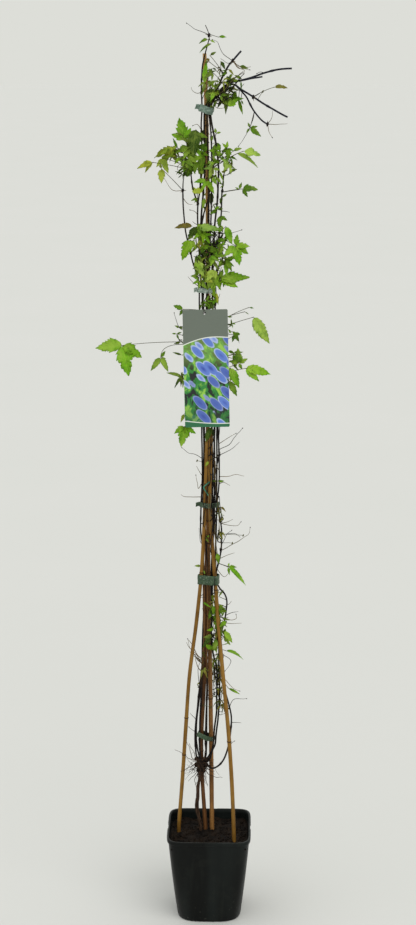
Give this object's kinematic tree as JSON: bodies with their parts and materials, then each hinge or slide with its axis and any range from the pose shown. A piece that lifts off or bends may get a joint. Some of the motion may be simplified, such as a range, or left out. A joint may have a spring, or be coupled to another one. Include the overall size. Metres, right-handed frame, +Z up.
{
  "type": "potted clematis",
  "caption": "Young alpine clematis in a square nursery pot: twining stems with toothed leaves tied up bamboo canes, with a hanging plant label.",
  "frame": {"origin": "middle of the pot's underside", "axes": "+Z up along the canes, -Y the front that the label faces, +X to the right seen from the front"},
  "size_m": [0.3271, 0.15, 1.5725],
  "materials": {
    "pot_plastic": "satin",
    "peat": "matte",
    "pale_bamboo": "satin",
    "dark_bamboo": "satin",
    "old_bark": "matte",
    "stem_and_leaf": "satin",
    "pale_strip": "satin",
    "green_strip": "satin",
    "teal_coating": "satin",
    "label_card": "satin",
    "dark_cord": "matte"
  },
  "bodies": {
    "root": {"pot": "pot_plastic", "soil": "peat", "cane_tall": "pale_bamboo", "cane_left": "pale_bamboo", "cane_right": "pale_bamboo", "cane_brown": "dark_bamboo", "crown": "old_bark", "vine_left": "stem_and_leaf", "vine_tall": "stem_and_leaf", "vine_mid": "stem_and_leaf", "vine_inner": "stem_and_leaf", "vine_front": "stem_and_leaf", "vine_low": "stem_and_leaf", "vine_right": "stem_and_leaf", "vine_back": "stem_and_leaf", "tie_top": "pale_strip", "tie_clear": "pale_strip", "tie_upper": "green_strip", "tie_lower": "green_strip", "tie_crown": "green_strip", "twist_wire": "teal_coating", "label": "label_card", "label_loop": "dark_cord"}
  },
  "joints": []
}
